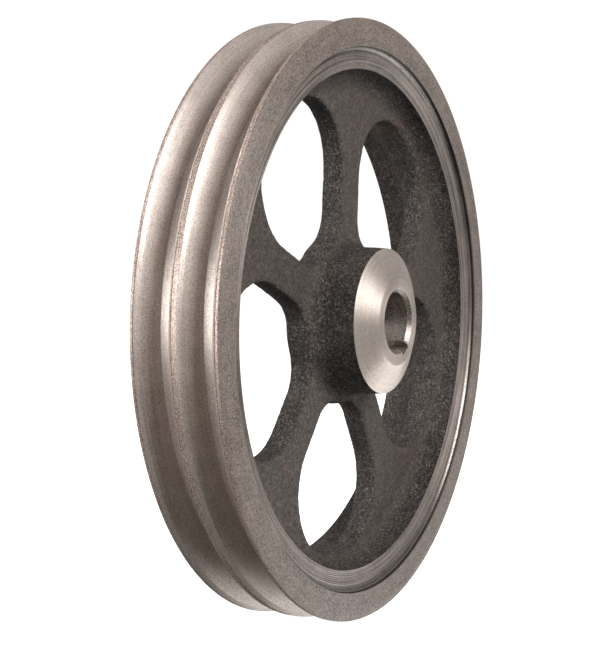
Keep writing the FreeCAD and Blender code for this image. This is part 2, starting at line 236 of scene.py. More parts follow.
# %% [markdown]
# ## The turned rim
#
# On the lathe the rim was faced on both sides, turned to its outside and grooved twice with a form tool.
# Each groove has flat walls, a narrow flat floor and a 45 degree break at its mouth. The drawing divides
# the rim into a band, two flanges and the centre rib, and the same four rings are spun here. Corners that
# a tool leaves are eased by a hair, because a real edge always catches some light. A corner where two
# rings meet stays exact, so that no line shows between them.
#
# The front side has a recess: a hollow quarter round, and then a slope that was cut with a coarse feed. Its
# ridges are nearly a millimetre apart. Bump in a finish could only shade them, so they are in the profile.

# %% Helpers for the recess
hair = 0.15 * MM
keen = 0.08 * MM
ridge_share = 0.65  # where in each turn of the feed its ridge stands


def tool_steps(start, end, pitch, depth):
    """A cut from one (radius, y) to another with a ridge at each turn of a coarse feed."""
    start, end = Vector(start), Vector(end)
    turns = max(1, round((end - start).length / pitch))
    step = (end - start) / turns
    inward = Vector((step.y, -step.x)).normalized() * depth
    path = []
    for turn in range(turns):
        path.append((*(start + turn * step), 0))
        path.append((*(start + (turn + ridge_share) * step + inward), 0))
    return path


def hollow(start, end, steps, ridge):
    """A hollow quarter round from a side along the axis to a flat, with a fine ridge at every other step."""
    path = []
    for step in range(steps):
        angle = math.pi / 2 * step / steps
        radius = start[0] + (end[0] - start[0]) * (1 - math.cos(angle))
        along = start[1] + (end[1] - start[1]) * math.sin(angle)
        path.append((radius + ridge * (step % 2), along, 0))
    return path


front = -half_width
recess_floor_radius = recess_radius - recess_wall_run
recess_corner = (recess_floor_radius, front + recess_wall_depth)
recess_wall = hollow((recess_radius, front), recess_corner, steps=8, ridge=0.05 * MM)
recess_slope = tool_steps(recess_corner, (front_lip_radius, front_lip), pitch=0.9 * MM, depth=0.13 * MM)
print("recess:", len(recess_wall), "points down its wall and", len(recess_slope), "along its slope")

# %% The band under the belts
seat_depth = 3.5 * MM  # how far the cast skin's piece reaches in under the turned rim
under_rim = front_lip_radius + seat_depth
band_points = [
    (floor_radius, front, 0),
    *recess_wall,
    *recess_slope,
    (front_lip_radius, front_lip, 0),
    (under_rim, front_lip + seat_depth, 0),
    (under_rim, half_width - seat_depth, 0),
    (rear_lip_radius, half_width, 0),
    (floor_radius, half_width, 0),
]
rim_band = turned_ring("rim_with_recess", band_points)

# %% [markdown]
# The outside of each flange and of the rib is a narrow land. The form tool's corner left a fine line near
# its edge, which catches the light all the way round, so a small V is turned into each profile.

# %% Flanges and centre rib
land_end = half_width - side_edge_along
land_width = 1.5 * MM
tool_line = 0.3 * MM  # how deep the line is
line_width = 1.6 * tool_line


def flange_points(side):
    """Profile of the flange on one side of the wheel, -1 at the front and 1 at the rear."""
    land_inner = land_end - land_width
    return [
        (floor_radius, side * half_width, 0),
        (outer_radius - side_edge_across, side * half_width, hair),
        (outer_radius, side * land_end, hair),
        (outer_radius, side * (land_inner + line_width), 0),
        (outer_radius - tool_line, side * (land_inner + line_width / 2), 0),
        (outer_radius, side * land_inner, keen),
        (outer_radius - edge_break, side * (land_inner - edge_break), hair),
        (floor_radius, side * flange_foot, 0),
    ]


front_flange = turned_ring("front_rim_flange", flange_points(-1))
rear_flange = turned_ring("rear_rim_flange", flange_points(1))

rib_side = [
    (outer_radius, rib_half_land, keen),
    (outer_radius - edge_break, rib_half_land + edge_break, hair),
    (floor_radius, rib_foot, 0),
]
rear_line = [
    (outer_radius, rib_half_land - line_width, 0),
    (outer_radius - tool_line, rib_half_land - line_width / 2, 0),
]
rib_points = rear_line + rib_side + [(radius, -along, easing) for radius, along, easing in reversed(rib_side)]
centre_rib = turned_ring("rib_between_belts", rib_points)

# %% [markdown]
# ## The cast web
#
# The web carries five arms with an egg-shaped window between each pair. Its surface was never machined:
# every corner has a fillet so that the sand would hold, and every edge came out of the mould rounded. A
# boolean cut would leave knife edges and long thin faces, so the web is a grid of small quads: rows run
# round each window like contour lines, and the fillets into the rim and hub are only a bend of that grid.
#
# To bend it, distances are measured along the surface. On the flat web that is the radius itself. Past the
# start of a fillet it is the length along the arc.

# %% Bending the web's sides up into the fillets
class WebSide:
    """One side of the web: flat between two radii, with an arc up to the hub and one up to the rim."""

    def __init__(self, along, outward, flat_inner, flat_outer, inner_arc, outer_arc):
        self.along, self.outward = along, outward
        self.flat_inner, self.flat_outer = flat_inner, flat_outer
        self.inner_arc, self.outer_arc = inner_arc, outer_arc
        self.start = flat_inner - inner_arc * math.pi / 2
        self.end = flat_outer + outer_arc * math.pi / 2

    def bend(self, distance):
        """(radius, y) of points at these distances along the surface."""
        out = np.clip((distance - self.flat_outer) / self.outer_arc, 0, math.pi / 2)
        inn = np.clip((self.flat_inner - distance) / self.inner_arc, 0, math.pi / 2)
        flat = np.clip(distance, self.flat_inner, self.flat_outer)
        radius = flat + self.outer_arc * np.sin(out) - self.inner_arc * np.sin(inn)
        rise = self.outer_arc * (1 - np.cos(out)) + self.inner_arc * (1 - np.cos(inn))
        return radius, self.along + self.outward * rise

    def unbend(self, radius):
        """Distance along the surface of points on it at these radii."""
        out = np.arcsin(np.clip((radius - self.flat_outer) / self.outer_arc, 0, 1))
        inn = np.arcsin(np.clip((self.flat_inner - radius) / self.inner_arc, 0, 1))
        flat = np.clip(radius, self.flat_inner, self.flat_outer)
        return flat + self.outer_arc * out - self.inner_arc * inn


front_wall_radius = front_lip_radius - (web_front - rim_fillet - front_lip) * math.tan(rim_draft)
rear_wall_radius = rear_lip_radius - (half_width - rim_fillet - web_rear) * math.tan(rim_draft)
hub_root_radius = hub_radius + (web_front - hub_fillet - hub_cone_foot) * math.tan(hub_draft)
front_side = WebSide(
    web_front, -1, hub_root_radius + hub_fillet, front_wall_radius - rim_fillet, hub_fillet, rim_fillet
)
rear_side = WebSide(
    web_rear, 1, hub_radius + rear_fillet, rear_wall_radius - rim_fillet, rear_fillet, rim_fillet
)
print(f"web {1e3 * (web_rear - web_front):.1f} mm thick, rim walls at {1e3 * front_wall_radius:.1f} mm")

# %% [markdown]
# The outline of a window is made of arcs: one along the rim, one along the hub, and a round corner at
# each end of the straight sides, which run parallel to the arms. Only its right half is worked out, and
# the left half is the mirror image.

# %% Sizes of a window
half_pitch = math.pi / ARMS
half_arm = 8.5 * MM
window_outer = front_wall_radius - 6 * MM
window_inner = hub_radius + 4.9 * MM
outer_corner = 28.3 * MM
inner_corner = 17 * MM
cast_edge = 1.7 * MM
across_arm = np.array([-math.cos(half_pitch), math.sin(half_pitch)])
down_arm = np.array([math.sin(half_pitch), math.cos(half_pitch)])


def corner(reach_of_centre, radius):
    """Centre of a window's round corner."""
    off = half_arm + radius
    along = math.sqrt(reach_of_centre**2 - off**2)
    return along * down_arm + off * across_arm


outer_centre = corner(window_outer - outer_corner, outer_corner)
inner_centre = corner(window_inner + inner_corner, inner_corner)
print(f"windows from {window_inner / MM:.1f} to {window_outer / MM:.1f} mm from the axis")


# %% Runs that an outline is made of
def arc_run(centre, radius, first, last, outward=1):
    """A run of an outline: its length, and a function that gives place and direction out of the window."""

    def at(share):
        angle = first + (last - first) * share
        direction = np.stack([np.sin(angle), np.cos(angle)], -1)
        return np.asarray(centre) + radius * direction, outward * direction

    return abs(last - first) * radius, at


def straight_run(start, end, direction):
    """The same for a straight run."""
    start, end = np.asarray(start), np.asarray(end)

    def at(share):
        share = np.asarray(share)[:, None]
        return start + (end - start) * share, np.broadcast_to(direction, (len(share), 2))

    return float(np.linalg.norm(end - start)), at


def along_runs(runs, count):
    """count + 1 points spaced evenly along several runs in a row."""
    lengths = np.array([length for length, _ in runs])
    ends = np.concatenate([[0], np.cumsum(lengths)])
    distance = np.linspace(0, ends[-1], count + 1)
    which = np.clip(np.searchsorted(ends, distance, side="right") - 1, 0, len(runs) - 1)
    places, directions = np.zeros((count + 1, 2)), np.zeros((count + 1, 2))
    for index, (length, at) in enumerate(runs):
        mine = which == index
        places[mine], directions[mine] = at((distance[mine] - ends[index]) / length)
    return places, directions


print(f"the two corners' centres are {math.dist(outer_centre, inner_centre) / MM:.1f} mm apart")

# %% The right half of a window
to_arm = half_pitch + math.pi / 2  # direction from the window to the arm on its right
towards_arm = np.array([math.sin(to_arm), math.cos(to_arm)])
outer_turn = math.atan2(*outer_centre)
inner_turn = math.atan2(*inner_centre)


def facing(centre, distance):
    """Direction from a corner's centre to the corner of the window's cell."""
    return math.atan2(*(distance * down_arm - centre))


outer_meet = facing(outer_centre, front_side.end)
inner_meet = facing(inner_centre, front_side.start)
side_top = outer_centre + outer_corner * towards_arm
side_foot = inner_centre + inner_corner * towards_arm

rim_half = [
    arc_run((0, 0), window_outer, 0, outer_turn),
    arc_run(outer_centre, outer_corner, outer_turn, outer_meet),
]
arm_side = [
    arc_run(outer_centre, outer_corner, outer_meet, to_arm),
    straight_run(side_top, side_foot, towards_arm),
    arc_run(inner_centre, inner_corner, to_arm, inner_meet),
]
hub_half = [
    arc_run(inner_centre, inner_corner, inner_meet, inner_turn + math.pi),
    arc_run((0, 0), window_inner, inner_turn, 0, outward=-1),
]
around_rim = rim_columns // ARMS
around_arm = 66
around_hub = 34
right_half = [
    along_runs(rim_half, around_rim // 2),
    along_runs(arm_side, around_arm),
    along_runs(hub_half, around_hub // 2),
]
print("runs in half an outline:", len(rim_half) + len(arm_side) + len(hub_half))


# %% The whole window, and the border of its cell
def mirrored(values, flip):
    """Values along a right half, and then flipped along the left half back to the start."""
    return np.concatenate([values, values[-2:0:-1] * flip])


def window_part(part):
    """Places (0) or outward directions (1), clockwise round from the middle of the outer edge."""
    values = [run[part][:-1] for run in right_half] + [right_half[-1][part][-1:]]
    return mirrored(np.concatenate(values), np.array([-1, 1]))


def cell_loop(side):
    """The cell's own border on the unbent plane, point for point with the window."""
    rim_turn = np.linspace(0, half_pitch, around_rim // 2 + 1)
    hub_turn = np.linspace(half_pitch, 0, around_hub // 2 + 1)
    down = np.linspace(side.end, side.start, around_arm + 1)
    at_rim, at_hub = np.full(len(rim_turn) - 1, side.end), np.full(len(hub_turn), side.start)
    distance = mirrored(np.concatenate([at_rim, down[:-1], at_hub]), 1)
    turn = mirrored(np.concatenate([rim_turn[:-1], np.full(around_arm, half_pitch), hub_turn]), -1)
    return np.stack([distance * np.sin(turn), distance * np.cos(turn)], -1)


window_places, window_outward = window_part(0), window_part(1)
print(f"{len(window_places)} points round each window")

# %% [markdown]
# Each cell of the web, a 72 degree slice with one window in it, now has contour rows: from the cell's
# border on the front to the rounded edge of the window, down the window's wall, round the rear edge and
# out to the border again on the rear side.

# %% One cell of the web, then five
rows_across = 18
rows_of_edge = 4
rows_of_wall = 9


def on_side(side, flat_points, depth=0.0):
    """Points of the unbent plane, placed on that side of the web and sunk by a depth."""
    distance = np.linalg.norm(flat_points, axis=-1)
    radius, along = side.bend(distance)
    turn = np.arctan2(flat_points[..., 0], flat_points[..., 1])
    return np.stack([radius * np.sin(turn), along - side.outward * depth, radius * np.cos(turn)], -1)


def side_rows(side):
    """Rows of one side, from the cell's border to the foot of the window's rounded edge."""
    radius = np.linalg.norm(window_places, axis=1)
    unbent = window_places * (side.unbend(radius) / radius)[:, None]
    edge_start = unbent + window_outward * cast_edge
    border = cell_loop(side)
    rows = []
    for share in np.linspace(0, 1, rows_across + 1):
        rows.append(on_side(side, border + (edge_start - border) * share))
    for step in range(1, rows_of_edge + 1):
        lean = step / rows_of_edge * math.pi / 2
        offset = cast_edge * (1 - math.sin(lean))
        rows.append(on_side(side, unbent + window_outward * offset, cast_edge * (1 - math.cos(lean))))
    return rows


front_rows, rear_rows = side_rows(front_side), side_rows(rear_side)
wall_rows = [
    front_rows[-1] + (rear_rows[-1] - front_rows[-1]) * step / rows_of_wall for step in range(1, rows_of_wall)
]
cell = np.array(front_rows + wall_rows + rear_rows[::-1])
cell_faces = grid_faces(cell.shape[0], cell.shape[1], close_columns=True)
first_arm = math.radians(5.2)


def turned_by(points, turn):
    """Points turned clockwise about the wheel's axis, seen from the front."""
    x, z = points[..., 0], points[..., 2]
    across = x * math.cos(turn) + z * math.sin(turn)
    up = z * math.cos(turn) - x * math.sin(turn)
    return np.stack([across, points[..., 1], up], -1)


vertices, faces = [], []


def add_grid(points, quads):
    """Put a grid into the web's lists."""
    quads = quads + sum(len(part) for part in vertices)
    vertices.append(points.reshape(-1, 3))
    faces.append(quads)


for arm in range(ARMS):
    add_grid(turned_by(cell, first_arm + (2 * arm + 1) * half_pitch), cell_faces)
print("cells:", ARMS, "quads each:", len(cell_faces))

# %% [markdown]
# ## Joining the web to the rim and the hub
#
# The cast skin goes on up the inside of the rim to both lips, and along the hub to its turned nose. Those
# walls are plain spun grids with the same columns as the cells, so that the points meet. Out of sight, a
# seat under the turned rim and one under the hub's sleeve close the mesh.

# %% Walls, seats and the whole cast web
wall_step = 1.2 * MM
sleeve_radius = hub_radius - 4.5 * MM
sleeve_taper = 2.5 * MM
hub_columns = ARMS * around_hub


def steps_between(start, end, step):
    """Points of a straight run, about a step apart, with both ends."""
    count = max(1, round(math.dist(start, end) / step))
    shares = np.linspace(0, 1, count + 1)[:, None]
    return np.asarray(start) * (1 - shares) + np.asarray(end) * shares


def end_of(side, distance):
    """The (radius, y) where a side of the web ends."""
    radius, along = side.bend(np.array([distance]))
    return float(radius[0]), float(along[0])


hub_seat = [
    (hub_radius, hub_cone_foot),
    (sleeve_radius, hub_cone_foot + sleeve_taper),
    (sleeve_radius, hub_rear - sleeve_taper),
    (hub_radius, hub_rear),
]
rim_seat = [
    (front_lip_radius, front_lip),
    (under_rim, front_lip + seat_depth),
    (under_rim, half_width - seat_depth),
    (rear_lip_radius, half_width),
]


def closing_wall(seat, front_distance, rear_distance, columns):
    """Add the walls from the web's two sides up to a seat, and the seat itself, to the web's lists."""
    front_end, rear_end = end_of(front_side, front_distance), end_of(rear_side, rear_distance)
    profile = [*steps_between(front_end, seat[0], wall_step), *seat[1:-1]]
    profile += [*steps_between(seat[-1], rear_end, wall_step)]
    turns = first_arm + np.arange(columns) * 2 * math.pi / columns
    add_grid(spin_columns(profile, turns), grid_faces(columns, len(profile), close_rows=True))


closing_wall(rim_seat, front_side.end, rear_side.end, rim_columns)
closing_wall(hub_seat, front_side.start, rear_side.start, hub_columns)
cast_web = mesh_object("cast_web_with_arms", np.concatenate(vertices), np.concatenate(faces))

# %% [markdown]
# ## The sand's mark
#
# Wet sand leaves three scales of relief: slow waves where it was rammed unevenly, lumps of a few
# millimetres, and the grain itself. The first two are pushed into the mesh here, along each point's
# normal. The grain is too fine for any sensible mesh and comes with the finish. Near a turned edge the
# push dies away, because there the tool has cut the skin off.
#
# The windows' walls have one more mark. Each half of the mould tapers, so that the pattern could be drawn
# out of it, and a wall stands proudest at mid thickness, where the two halves met.

# %% How far the sand pushes a point
touching = 0.01 * MM  # nearer than this counts as the same place
fade_length = 1.2 * MM
wave_size, wave_height = 16 * MM, 0.16 * MM
lump_size, lump_height = 3.6 * MM, 0.13 * MM
lump_shift = Vector((7, 3, 5))
parting_y = (web_front + web_rear) / 2
parting_height = 0.9 * MM
wall_lean = 0.6  # a face whose normal leans less along the axis than this is a wall


def skin_share(place):
    """How much of the sand's relief a point keeps: none on a seat or at a turned edge."""
    radius = math.hypot(place.x, place.z)
    if radius > front_lip_radius - touching or radius < hub_radius - touching:
        return 0
    edges = [(front_lip_radius, front_lip), (rear_lip_radius, half_width)]
    edges += [(hub_radius, hub_cone_foot), (hub_radius, hub_rear)]
    nearest = min(math.dist((radius, place.y), edge) for edge in edges)
    return min(1, nearest / fade_length)


def sand_relief(place):
    """Height of the relief at a place, in metres: waves, and lumps in three sizes on top of them."""
    waves = noise.noise(place / wave_size) * wave_height
    lumps = noise.fractal(place / lump_size + lump_shift, 0.7, 2.1, 3) * lump_height
    return waves + lumps


def parting_ridge(place, normal):
    """How proud a window's wall stands, the most at mid thickness."""
    if abs(normal.y) > wall_lean:
        return 0
    return parting_height * max(0, 1 - abs(place.y - parting_y) / (web_rear - parting_y))


print(f"relief at the wheel's centre: {sand_relief(Vector()) / MM:.3f} mm")

# %% Pushing the cast skin in and out
normals = [vertex.normal.copy() for vertex in cast_web.data.vertices]
relief = []
for vertex, normal in zip(cast_web.data.vertices, normals):
    height = skin_share(vertex.co) * (sand_relief(vertex.co) + parting_ridge(vertex.co, normal))
    relief.append(height)
    vertex.co += normal * height
cast_web.data.polygons.foreach_set("use_smooth", [True] * len(cast_web.data.polygons))
print(f"relief from {min(relief) / MM:.2f} to {max(relief) / MM:.2f} mm")

# %% [markdown]
# ## The hub
#
# The nose is turned to a cone with a flat ring, and the bore is bored right through and keyed. A keyway
# is broached, so its walls are flat and its corners sharp. That is a true cut, and so is the drilled hole
# for the set screw, so both are made with a boolean.

# %% The turned sleeve with its bore
hub_turns = first_arm + np.arange(hub_columns) * 2 * math.pi / hub_columns
bore_mouth = bore_radius + bore_chamfer
hub_points = [
    (bore_mouth, hub_front, keen),
    (hub_face_radius, hub_front, hair),
    *[(*point, 0) for point in hub_seat],
    (bore_mouth, hub_rear, keen),
    (bore_radius, hub_rear - bore_chamfer, keen),
    (bore_radius, hub_front + bore_chamfer, keen),
]
hub_profile = eased(hub_points)
hub_sleeve = mesh_object(
    "turned_hub",
    spin_columns(hub_profile, hub_turns).reshape(-1, 3),
    grid_faces(hub_columns, len(hub_profile), close_rows=True, close_columns=True),
)

# %% The keyway and the tapped hole
key_turn = math.radians(151.1)
key_direction = Vector((math.sin(key_turn), 0, math.cos(key_turn)))
keyway_half_width = 3.175 * MM
keyway_floor = 15.6 * MM
screw_along = hub_front + 11.5 * MM
hole_radius = 3.97 * MM
hole_start = 2 * MM  # distance from the wheel's axis, well inside the bore


def bar(name, sides, radius, length):
    """A closed bar along z, with its middle at the origin."""
    both = {"radius1": radius, "radius2": radius}
    return drawn(name, bmesh.ops.create_cone, cap_ends=True, segments=sides, depth=length, **both)


def keyway_cutter():
    """A block as wide as the key, from the bore's middle to the keyway's floor."""
    corners = [(-keyway_half_width, 0), (keyway_half_width, 0)]
    corners += [(keyway_half_width, keyway_floor), (-keyway_half_width, keyway_floor)]
    points = [(x, y, z) for y in (hub_front - MM, hub_rear + MM) for x, z in corners]
    quads = [(0, 1, 2, 3), (7, 6, 5, 4)] + [(k, 4 + k, 4 + (k + 1) % 4, (k + 1) % 4) for k in range(4)]
    block = mesh_object("keyway", points, quads)
    block.data.transform(Matrix.Rotation(key_turn, 4, "Y"))
    return block


def hole_cutter(name):
    """A round bar from inside the bore out past the hub, along the set screw's axis."""
    length = 2 * hub_radius
    mesh = bar(name, 96, hole_radius, length)
    mesh.transform(Matrix.Translation((0, screw_along, length / 2 + hole_start)))
    mesh.transform(Matrix.Rotation(key_turn, 4, "Y"))
    return linked(name, mesh)


subtract(hub_sleeve, keyway_cutter(), hole_cutter("sleeve_hole"))
subtract(cast_web, hole_cutter("web_hole"))
crisp(hub_sleeve)
crisp(cast_web, 60)
print("hub:", len(hub_sleeve.data.polygons), "web:", len(cast_web.data.polygons), "faces")

# %% [markdown]
# ## The set screw
#
# A socket set screw locks the hub on its key. Its thread is one long ridge that winds round the shank, so
# the grid's columns rise along the screw as they go round: one turn higher at the end than at the start.
# The thread's ends fade into the cup point and the chamfer.

# %% The radius of a screw with a real thread
screw_crest = 3.92 * MM
screw_length = 9.5 * MM
screw_chamfer = 0.6 * MM
point_radius = 2.2 * MM
point_length = 1.1 * MM
cup_depth = 0.9 * MM
thread_pitch = 1.41 * MM
thread_depth = 0.72 * MM
flank_slope = 1.15  # above 1 it leaves a small flat on the thread's crest


def screw_envelope(along):
    """The largest radius at a height: the cup point's cone below, a chamfer above."""
    point = point_radius + (screw_crest - point_radius) * along / point_length
    top = screw_crest - screw_chamfer + (screw_length - along)
    return min(screw_crest, point, top)


def thread_radius(along, turn):
    """Radius of the threaded shank at a height and an angle."""
    phase = (along / thread_pitch - turn / (2 * math.pi)) % 1
    depth = max(0, 1 - abs(2 * phase - 1) * flank_slope) * thread_depth
    return min(screw_envelope(along), screw_crest - depth)


print(f"thread: {screw_length / thread_pitch:.1f} turns")

# %% The shank
thread_columns = 72
thread_rows_per_turn = 10
rows = int(screw_length / thread_pitch * thread_rows_per_turn)
heights = [screw_length * row / rows for row in range(rows + 1)]
columns = [2 * math.pi * column / thread_columns for column in range(thread_columns)]
screw_points = [(0, 0, cup_depth)]
for height in heights:
    for turn in columns:
        radius = thread_radius(height, turn)
        screw_points.append((radius * math.cos(turn), radius * math.sin(turn), height))
screw_points.append((0, 0, screw_length))
shank_faces = (grid_faces(len(heights), thread_columns, close_columns=True) + 1).tolist()
last = len(screw_points) - 1
for column in range(thread_columns):
    following = (column + 1) % thread_columns
    shank_faces.append((0, 1 + column, 1 + following))
    shank_faces.append((last, last - thread_columns + following, last - thread_columns + column))
set_screw = mesh_object("socket_set_screw", screw_points, shank_faces)

# %% Its hexagon socket, and its place in the hub
socket_flats = 3.97 * MM
socket_depth = 4 * MM
tip_gap = 1 * MM
across_corners = socket_flats / math.cos(math.pi / 6)
socket_mesh = bar("socket", 6, across_corners / 2, 2 * socket_depth)
socket_mesh.transform(Matrix.Translation((0, 0, screw_length)))
subtract(set_screw, linked("socket", socket_mesh))
crisp(set_screw, 40)
set_screw.data.transform(Matrix.Translation((0, 0, keyway_floor + tip_gap)))
set_screw.data.transform(Matrix.Rotation(key_turn, 4, "Y"))
set_screw.data.transform(Matrix.Translation((0, screw_along, 0)))
print("set screw:", len(set_screw.data.polygons), "faces")

# %% [markdown]
# ## Finishes
#
# Every finish is built from nodes, so it has no picture files and no seams. The sand-cast skin has no
# direction, so plain noise in the part's own coordinates suits it. On a turned surface the tool's marks
# run round the wheel. There a point's radius and its place along the axis count for a lot, and its place
# round the wheel for little, so the noise is drawn out into rings. It is four-dimensional noise, because an
# angle would leave a seam where it starts again.

# %% Adding materials and nodes
def new_finish(name, roughness, metallic, specular=0.5):
    """A material with one Principled shader, and its node tree."""
    material = bpy.data.materials.new(name)
    material.use_nodes = True
    tree = material.node_tree
    shader = tree.nodes["Principled BSDF"]
    shader.inputs["Roughness"].default_value = roughness
    shader.inputs["Metallic"].default_value = metallic
    shader.inputs["Specular IOR Level"].default_value = specular
    return material, tree, shader


SETTINGS = {"Mix": "data_type", "TexNoise": "noise_dimensions"}


def node(tree, kind, setting=None, **inputs):
    """Add a node, with its main setting. An input is a number, a colour or another node's output."""
    made = tree.nodes.new("ShaderNode" + kind)
    if setting:
        setattr(made, SETTINGS.get(kind, "operation"), setting)
    for name, value in inputs.items():
        socket = made.inputs[int(name[1:])] if name[0] == "_" else made.inputs[name.replace("_", " ")]
        if isinstance(value, bpy.types.NodeSocket):
            tree.links.new(value, socket)
        else:
            socket.default_value = value
    return made


def added(tree, start, *layers):
    """A start value, and on it layers of (value, share)."""
    total = start
    for value, share in layers:
        total = node(tree, "Math", "MULTIPLY_ADD", _0=value, _1=share, _2=total).outputs[0]
    return total


print("materials so far:", len(bpy.data.materials))


# %% Noise in the part's own coordinates
def part_place(tree):
    """The point's place in the part's own coordinates."""
    return node(tree, "TexCoord").outputs["Object"]


def lump_noise(tree, size, detail=3.0, roughness=0.55, shift=0.0):
    """Noise with lumps of a size in metres, the same in every direction."""
    moved = node(tree, "VectorMath", "ADD", _0=part_place(tree), _1=(shift, 2 * shift, -shift))
    made = node(tree, "TexNoise", Vector=moved.outputs[0], Scale=1 / size, Detail=detail, Roughness=roughness)
    return made.outputs[0]


def ring_noise(tree, pitch, drawn_out, detail):
    """Noise drawn out round the wheel: rings a pitch apart that change over a much longer distance."""
    parts = node(tree, "SeparateXYZ", Vector=part_place(tree)).outputs
    flat = node(tree, "CombineXYZ", X=parts[0], Y=parts[2])
    radius = node(tree, "VectorMath", "LENGTH", _0=flat.outputs[0]).outputs["Value"]
    place = node(tree, "CombineXYZ", X=radius, Y=parts[1], Z=parts[0]).outputs[0]
    scale = (1 / pitch, 1 / pitch, 1 / drawn_out)
    place = node(tree, "VectorMath", "MULTIPLY", _0=place, _1=scale).outputs[0]
    up = node(tree, "Math", "MULTIPLY", _0=parts[2], _1=1 / drawn_out).outputs[0]
    made = node(tree, "TexNoise", "4D", Vector=place, W=up, Scale=1.0, Detail=detail, Roughness=0.6)
    return made.outputs[0]


print("noise: lumps and rings")


# %% Colours, ranges and bump
def ramp(tree, factor, *stops):
    """A colour ramp with stops of (position, colour)."""
    made = tree.nodes.new("ShaderNodeValToRGB")
    elements = made.color_ramp.elements
    while len(elements) > 1:
        elements.remove(elements[-1])
    for index, (position, colour) in enumerate(stops):
        element = elements[0] if index == 0 else elements.new(position)
        element.position = position
        element.color = (*colour, 1)
    tree.links.new(factor, made.inputs[0])
    return made.outputs[0]


def remap(tree, value, low, high, to_low=0.0, to_high=1.0):
    """Stretch a value from one range to another, and hold it there."""
    made = node(tree, "MapRange", Value=value, From_Min=low, From_Max=high, To_Min=to_low, To_Max=to_high)
    return made.outputs[0]


def plug(tree, shader, **sockets):
    """Link values into the shader's sockets."""
    for name, value in sockets.items():
        tree.links.new(value, shader.inputs[name.replace("_", " ")])


def blended(tree, share, first, second):
    """A share of the second colour mixed into the first."""
    return node(tree, "Mix", "RGBA", _0=share, _6=first, _7=second).outputs[2]


def bumped(tree, shader, *layers):
    """Stack bump layers of (height, strength, distance) onto the shader."""
    normal = None
    for height, strength, distance in layers:
        bump = node(tree, "Bump", Strength=strength, Distance=distance, Height=height)
        if normal is not None:
            tree.links.new(normal, bump.inputs["Normal"])
        normal = bump.outputs[0]
    plug(tree, shader, Normal=normal)


print("a bump layer is (height, strength, depth in metres)")

# %% [markdown]
# ### Turned iron
#
# Grey iron is full of graphite flakes. A tool tears some of them out, so a turned face isn't a mirror: it
# is satin, with fine rings, dark specks where flakes came out and pale ones where the metal was smeared.
#
# The rings also stretch a highlight, across their own direction: a lamp shows in them as two fans that
# meet at the axis. The shader's anisotropy does that, with a tangent that runs round the wheel's axis.

# %% A turned finish
def turned_iron(name, dark, light, roughness, metallic, pitch=0.35, rings=0.3, specks=0.5):
    """A turned finish between two colours. Rings and specks say how much each shows in the colour."""
    material, tree, shader = new_finish(name, roughness, metallic)
    fine_rings = ring_noise(tree, pitch * MM, 60 * MM, detail=2.0)
    broad_rings = ring_noise(tree, 2.4 * MM, 70 * MM, detail=1.0)
    torn = lump_noise(tree, 0.5 * MM, detail=2.0, roughness=0.75)
    patches = lump_noise(tree, 11 * MM, shift=0.3)
    middle = 0.35 - rings / 2 - specks / 2  # keeps the average tone the same, whatever the shares
    tone = added(tree, middle, (fine_rings, rings), (torn, specks), (broad_rings, 0.12), (patches, 0.18))
    colour = ramp(tree, remap(tree, tone, 0.36, 0.64), (0.0, dark), (1.0, light))
    gloss = remap(tree, torn, 0.35, 0.65, roughness + 0.1, roughness - 0.1)
    bumped(tree, shader, (fine_rings, 0.6, 0.03 * MM), (torn, 0.6, 0.05 * MM))
    shader.inputs["Anisotropic"].default_value = 0.65
    shader.inputs["Anisotropic Rotation"].default_value = 0.25
    tangent = tree.nodes.new("ShaderNodeTangent")
    tangent.direction_type = "RADIAL"
    tangent.axis = "Y"
    plug(tree, shader, Base_Color=colour, Roughness=gloss, Tangent=tangent.outputs[0])
    return material


# %% The eight turned finishes
grooved = turned_iron("turned_grooves", (0.29, 0.24, 0.21), (0.60, 0.53, 0.485), 0.47, 0.6, specks=0.8)
land = turned_iron("torn_lands", (0.14, 0.098, 0.08), (0.56, 0.445, 0.385), 0.52, 0.5, pitch=0.5, specks=1.2)
faced = turned_iron(
    "faced_rim_side", (0.055, 0.043, 0.036), (0.22, 0.18, 0.158), 0.58, 0.15, rings=0.1, specks=1.1
)
nose = turned_iron(
    "turned_hub_nose", (0.32, 0.27, 0.235), (0.64, 0.56, 0.51), 0.44, 0.7, rings=0.25, specks=0.6
)
ridged = turned_iron(
    "coarse_recess_floor", (0.08, 0.066, 0.058), (0.30, 0.255, 0.23), 0.44, 0.5, pitch=0.9, rings=0.7
)
# the recess wall's dark colours are partly its turned iron and partly painted shade of the step
recess_wall_painted_shade = turned_iron(
    "recess_wall", (0.05, 0.043, 0.038), (0.34, 0.30, 0.275), 0.42, 0.8, pitch=0.6, rings=0.8
)
# near black: a painted shadow line along the steep part of the recess wall
painted_shadow_line = turned_iron(
    "recess_corner", (0.004, 0.0035, 0.003), (0.035, 0.029, 0.026), 0.5, 0.4, rings=0.6
)
bored = turned_iron(
    "bored_iron", (0.06, 0.05, 0.043), (0.44, 0.38, 0.34), 0.42, 0.7, rings=0.15, specks=1.0
)
print("turned finishes:", len(bpy.data.materials))

# %% [markdown]
# ### Cast skin
#
# The skin is iron oxide and baked sand: almost black, matt, with a grain of about half a millimetre. The
# flat sides of the web came out fine, and every wall that the pattern was drawn along is coarse and full of
# pits, so the finish looks at which way the surface faces. The grain's tone follows its bump, so the pits get
# painted shade and the grains' tops a painted highlight. Pale specks are painted glints of grains, the most
# on the walls.
# A little rust has come up where the skin is thin, the most in the corner of one window where water stood.

# %% Where rust has come up
rust = (0.22, 0.10, 0.045)
damp_corner = (56 * MM, 2 * MM, 90 * MM)


